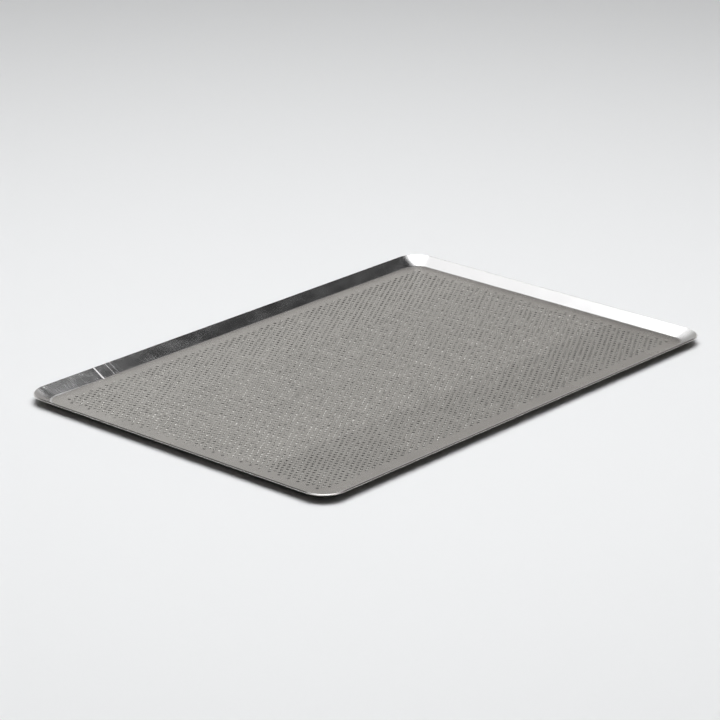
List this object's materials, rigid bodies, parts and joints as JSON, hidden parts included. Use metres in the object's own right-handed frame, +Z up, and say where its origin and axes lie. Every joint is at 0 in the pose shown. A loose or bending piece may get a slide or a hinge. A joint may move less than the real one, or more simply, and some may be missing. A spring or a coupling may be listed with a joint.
{
  "type": "perforated baking tray",
  "caption": "Flat rectangular baking tray of perforated aluminium sheet, with low sloped rims on all four sides and rounded corners.",
  "frame": {"origin": "under the middle of the tray's floor, at the height of the surface it stands on", "axes": "+X along the long side, +Y along the short side, +Z up, out of the baking surface"},
  "size_m": [0.6, 0.4, 0.01],
  "materials": {
    "bare_aluminium": "bare, finely brushed and scratched aluminium sheet"
  },
  "bodies": {
    "root": {"tray_sheet": "bare_aluminium"}
  },
  "joints": []
}
